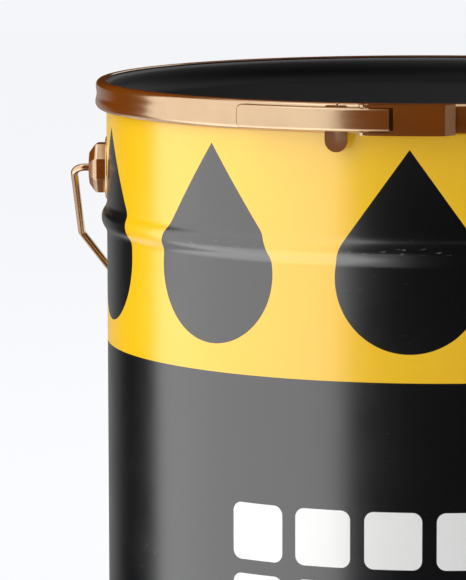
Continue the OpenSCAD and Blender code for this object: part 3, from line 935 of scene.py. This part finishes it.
def strap():
    """Saddle and tongue over the ring's split, with the arm and rolled eye of the hinge."""
    half_w = STRAP_W / 2
    foot = RING_FOOT_Z - TONGUE
    top = HEIGHT - 0.8
    outline = [(half_w * math.cos(math.radians(a)), foot + half_w + half_w * math.sin(math.radians(a)))
               for a in range(180, 361, 15)]
    corner = 1.0
    outline += arc(half_w - corner, top - corner, corner, 0, 90, 5)
    outline += arc(-half_w + corner, top - corner, corner, 90, 180, 5)
    sections = []
    for r in (RING_OUT, RING_OUT + STRAP_T):
        middle = on_hoop(r, SPLIT_AT, 0)
        across = on_hoop(1, SPLIT_AT + 90 + STRAP_TURN, 0)
        sections.append([middle + across * w + Vector((0, 0, z)) for w, z in outline])
    plate = make("strap_plate", *loft(sections), COPPER_ROLLED, "ring")
    half = LEVER_H / 2 - LEVER_T - 0.3
    eye_r = 1.4
    # the arm reaches the hinge and is rolled once round its pin
    arm = sweep_at(RING_OUT, SPLIT_AT, HINGE_AT + 0.3, 24)
    arm += sweep_at(RING_OUT + STRAP_T, HINGE_AT + 0.3, SPLIT_AT, 24)
    limb = make("strap_arm", *prism(plan(arm), RING_MID - half, RING_MID + half), COPPER_ROLLED, "ring")
    neck = [(RING_OUT + 0.2, HINGE_AT - 0.52), (RING_OUT + 0.2, HINGE_AT + 0.1),
            (PIN_AT_R - 0.2, HINGE_AT + 0.1), (PIN_AT_R, HINGE_AT - 0.52)]
    riser = make("strap_neck", *prism(plan(neck), RING_MID - half, RING_MID + half), COPPER_ROLLED, "ring")
    roll = prism(round_hole(HINGE, eye_r), RING_MID - half, RING_MID + half)
    eye = make("strap_eye", *roll, COPPER_ROLLED, "ring")
    bore = prism(round_hole(HINGE, PIN_R), RING_MID - half - 1, RING_MID + half + 1)
    hole = make("strap_bore", *bore, COPPER_ROLLED, "ring")
    for other in (limb, riser, eye):
        boolean(plate, other, "UNION")
    boolean(plate, hole, "DIFFERENCE")
    return soften(finish_joined(plate, "pressed_strap", "anchor_strap"), 0.42, 3, 35)


def pin(name, node, body, direction, half):
    """A plain pin with its ends peened to low domes."""
    dome = 0.25
    rings = [(0.0, -half), (PIN_R * 0.55, -half + 0.04), (PIN_R * 0.88, -half + dome * 0.6),
             (PIN_R, -half + dome), (PIN_R, half - dome), (PIN_R * 0.88, half - dome * 0.6),
             (PIN_R * 0.55, half - 0.04), (0.0, half)]
    centre = on_hoop(PIN_AT_R, direction, RING_MID)
    verts, faces = revolve(rings, 40)
    return make(name, [centre + v for v in verts], faces, COPPER_PRESSED, body, node, "copper_steel")


can_shell()
can_bottom()
for side, word in ((-1, "left"), (1, "right")):
    ear_plate(side, f"ear_plate_{word}")
    ear_boss(side, f"ear_boss_{word}")
bail_wire()
bail_grip()
lid_panel()
lock_ring()
lever()
fork()
strap()
pin("hinge_pin_peened", "hinge_pin", "ring", HINGE_AT, LEVER_H / 2 + 0.1)
pin("hook_pin_peened", "hook_pin", "lever", HOOK_AT, RING_H / 2 + 0.3)

for node in ("bottom_seal", "lid_gasket"):
    carried = frame["nodes"][node]
    carried.data.materials.clear()
    carried.data.materials.append(COMPOUND)


# ---- Stage, lights and camera (metres) ----

BACKGROUND = (0.913, 0.921, 0.947)
DARK_ROOM = 0.002
BACK_GLOW = 0.33
LOW_GLOW = 1.0
FILL = 0.37

FLOOR_REACH, FLOOR_DROP = 6.0, 0.0002
FLOOR_NEAR_R, FLOOR_FAR_R = 0.30, 0.75
FLOOR_NEAR_GLOW, FLOOR_FAR_GLOW = 0.57, 0.955

BOX_DISTANCE, BOX_TALL, BOX_MID_Z = 1.6, 10.0, 0.25
# each box's direction from the front in degrees, its width and its radiance
SOFT_BOXES = {
    "soft_box_left": (-68.6, 2.70, 1.87),
    "soft_box_right": (140.0, 1.5, 1.5),
    "soft_box_low_key": (94.0, 1.5, 0.22),
}

LENS, SENSOR = 250.6655, 36.0
CAMERA_PLACE = (0.0, -1.777, 0.480)
# yaw to the right, pitch down and roll anticlockwise, in degrees
CAMERA_TURN = (-2.822, 7.195, -0.123)


def floor():
    """Pale and plain: it takes the pail's soft shadow close by, and is evenly bright farther off."""
    n = Nodes("pale_floor")
    x, y, z = n.point()
    out = n.radius(x, y)
    far = n.between(out, FLOOR_NEAR_R, FLOOR_FAR_R)
    cloud = n.noise(n.join(x, y, z), 2.0, 2.0)
    near_shade = n.blend(cloud, (0.335, 0.338, 0.347), (0.355, 0.358, 0.368))
    glow = n.between(far, 0.0, 1.0, FLOOR_NEAR_GLOW, FLOOR_FAR_GLOW)
    n.put(glow, n.shader.inputs["Emission Strength"])
    material = n.finish(n.blend(far, near_shade, (0.08, 0.081, 0.083)), 0.9, Specular_IOR_Level=0.0,
                        Emission_Color=(*BACKGROUND, 1.0))
    mesh = bpy.data.meshes.new("floor")
    corners = [(FLOOR_REACH * a, FLOOR_REACH * b, 0) for a, b in ((-1, -1), (1, -1), (1, 1), (-1, 1))]
    mesh.from_pydata(corners, [], [(0, 1, 2, 3)])
    mesh.materials.append(material)
    ground = bpy.data.objects.new("floor", mesh)
    ground.location.z = -FLOOR_DROP
    bpy.context.scene.collection.objects.link(ground)
    ground.visible_glossy = False


def world():
    """Pale where nothing is in the way, a soft fill on rough surfaces, and a dark room in reflections."""
    scene = bpy.context.scene
    scene.world = bpy.data.worlds.new("studio")
    scene.world.use_nodes = True
    tree = scene.world.node_tree
    tree.nodes.clear()

    def ramp(value, low, high, to_low, to_high):
        node = tree.nodes.new("ShaderNodeMapRange")
        node.interpolation_type = "SMOOTHSTEP"
        tree.links.new(value, node.inputs[0])
        for k, v in enumerate((low, high, to_low, to_high)):
            node.inputs[k + 1].default_value = v
        return node.outputs[0]

    direction = tree.nodes.new("ShaderNodeSeparateXYZ")
    tree.links.new(tree.nodes.new("ShaderNodeTexCoord").outputs["Generated"], direction.inputs[0])
    # the room glows in two places: low behind the pail, and deep down on the left
    behind = ramp(direction.outputs[1], 0.70, 0.97, 0.0, BACK_GLOW)
    below = ramp(direction.outputs[2], -0.03, 0.02, 1.0, 0.0)
    left = ramp(direction.outputs[0], -0.30, -0.08, LOW_GLOW, 0.0)
    deep = ramp(direction.outputs[2], -0.50, -0.30, 1.0, 0.0)

    def multiply_add(first, second, third):
        node = tree.nodes.new("ShaderNodeMath")
        node.operation = "MULTIPLY_ADD"
        tree.links.new(first, node.inputs[0])
        tree.links.new(second, node.inputs[1])
        if isinstance(third, float):
            node.inputs[2].default_value = third
        else:
            tree.links.new(third, node.inputs[2])
        return node.outputs[0]

    glow = multiply_add(left, deep, multiply_add(behind, below, DARK_ROOM))
    path = tree.nodes.new("ShaderNodeLightPath")
    shades = []
    for colour, strength in (((1.0, 1.0, 1.0), 1.0), ((1.0, 1.0, 1.0), FILL), (BACKGROUND, 1.0)):
        shade = tree.nodes.new("ShaderNodeBackground")
        shade.inputs[0].default_value = (*colour, 1.0)
        shade.inputs[1].default_value = strength
        shades.append(shade)
    tree.links.new(glow, shades[0].inputs[1])
    current = shades[0].outputs[0]
    for ray, shade in (("Is Diffuse Ray", shades[1]), ("Is Camera Ray", shades[2])):
        mix = tree.nodes.new("ShaderNodeMixShader")
        tree.links.new(path.outputs[ray], mix.inputs[0])
        tree.links.new(current, mix.inputs[1])
        tree.links.new(shade.outputs[0], mix.inputs[2])
        current = mix.outputs[0]
    output = tree.nodes.new("ShaderNodeOutputWorld")
    tree.links.new(current, output.inputs[0])


def panel(name, centre, aim, width, height, radiance):
    """A soft box: an area light of that radiance facing a point, hidden from the camera itself."""
    light = bpy.data.lights.new(name, "AREA")
    light.shape = "RECTANGLE"
    light.size, light.size_y = width, height
    light.energy = radiance * math.pi * width * height
    lamp = bpy.data.objects.new(name, light)
    bpy.context.scene.collection.objects.link(lamp)
    lamp.location = centre
    lamp.rotation_euler = (Vector(aim) - Vector(centre)).to_track_quat("-Z", "Y").to_euler()
    lamp.visible_camera = False


def lights():
    """Tall soft boxes at the sides, and one overhead that draws the bright line on the rims."""
    for name, (direction, width, radiance) in SOFT_BOXES.items():
        place = on_hoop(BOX_DISTANCE, direction, BOX_MID_Z)
        panel(name, place, (0, 0, BOX_MID_Z), width, BOX_TALL, radiance)
    panel("overhead", (0.0, 0.2, 2.3), (0.0, 0.0, 0.35), 2.4, 2.2, 1.2)


def camera():
    """A long lens at the front, a little above the pail and looking slightly down."""
    lens = bpy.data.cameras.new("camera")
    lens.sensor_fit = "AUTO"
    lens.sensor_width = SENSOR
    lens.lens = LENS
    lens.clip_start, lens.clip_end = 0.05, 60.0
    cam = bpy.data.objects.new("camera", lens)
    bpy.context.scene.collection.objects.link(cam)
    bpy.context.scene.camera = cam
    yaw, pitch, roll = (math.radians(a) for a in CAMERA_TURN)
    ahead = Vector((math.sin(yaw) * math.cos(pitch), math.cos(yaw) * math.cos(pitch), -math.sin(pitch)))
    right = ahead.cross(Vector((0, 0, 1))).normalized()
    up = right.cross(ahead)
    turn = Matrix((right, up, -ahead)).transposed().to_4x4()
    cam.matrix_world = Matrix.Translation(CAMERA_PLACE) @ turn @ Matrix.Rotation(roll, 4, "Z")


floor()
world()
lights()
camera()
bpy.context.scene.view_settings.view_transform = "Standard"
